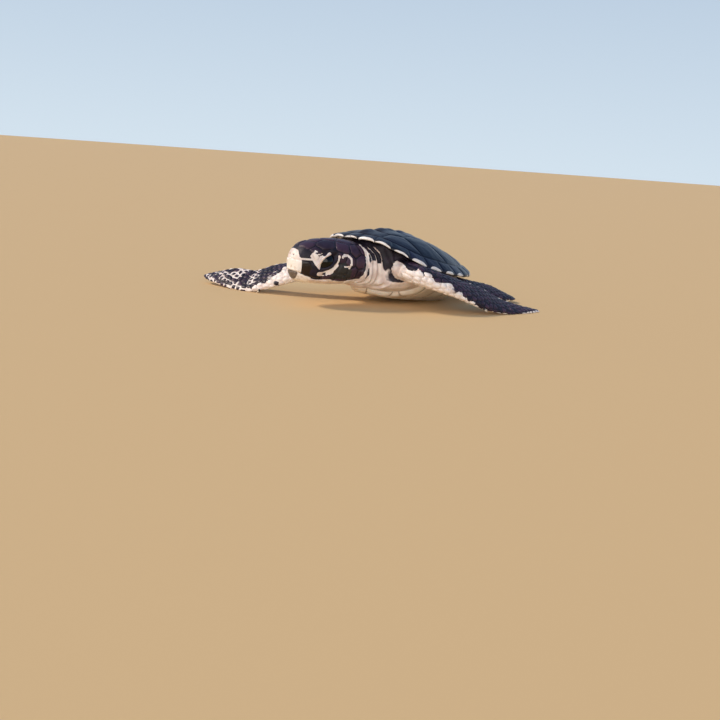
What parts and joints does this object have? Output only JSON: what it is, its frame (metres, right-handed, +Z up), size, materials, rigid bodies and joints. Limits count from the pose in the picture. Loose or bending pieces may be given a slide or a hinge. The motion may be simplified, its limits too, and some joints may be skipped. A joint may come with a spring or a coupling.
{
  "type": "green turtle hatchling",
  "caption": "Hatchling green sea turtle, life size, crawling on its front flippers with the head raised; rests on its belly plate and flipper edges.",
  "frame": {"origin": "middle of the small flat at the rear of the belly plate that rests on the floor", "axes": "+Z up from the floor, -Y towards the head, +X towards the turtle's left side"},
  "size_m": [0.0855, 0.075, 0.0212],
  "materials": {
    "carapace": "near-black horny plates with a blue-grey sheen and a white rim",
    "plastron": "cream-white horny plates",
    "skin": "scaly skin, near-black above with pale scale borders, white below",
    "beak": "horn, white in front and brown-black along the sides",
    "claw": "pale brown horn",
    "eye": "wet, glossy black"
  },
  "bodies": {
    "root": {"carapace": "carapace", "plastron": "plastron", "trunk": "skin", "head": "skin", "lower_jaw": "skin", "upper_beak": "beak", "lower_beak": "beak", "eye_left": "eye", "eye_right": "eye", "neck": "skin", "front_arm_left": "skin", "front_arm_right": "skin", "front_flipper_left": "skin", "front_flipper_right": "skin", "hind_leg_left": "skin", "hind_leg_right": "skin", "hind_flipper_left": "skin", "hind_flipper_right": "skin", "tail": "skin", "front_claw_left": "claw", "front_claw_right": "claw", "hind_claw_left": "claw", "hind_claw_right": "claw"}
  },
  "joints": []
}
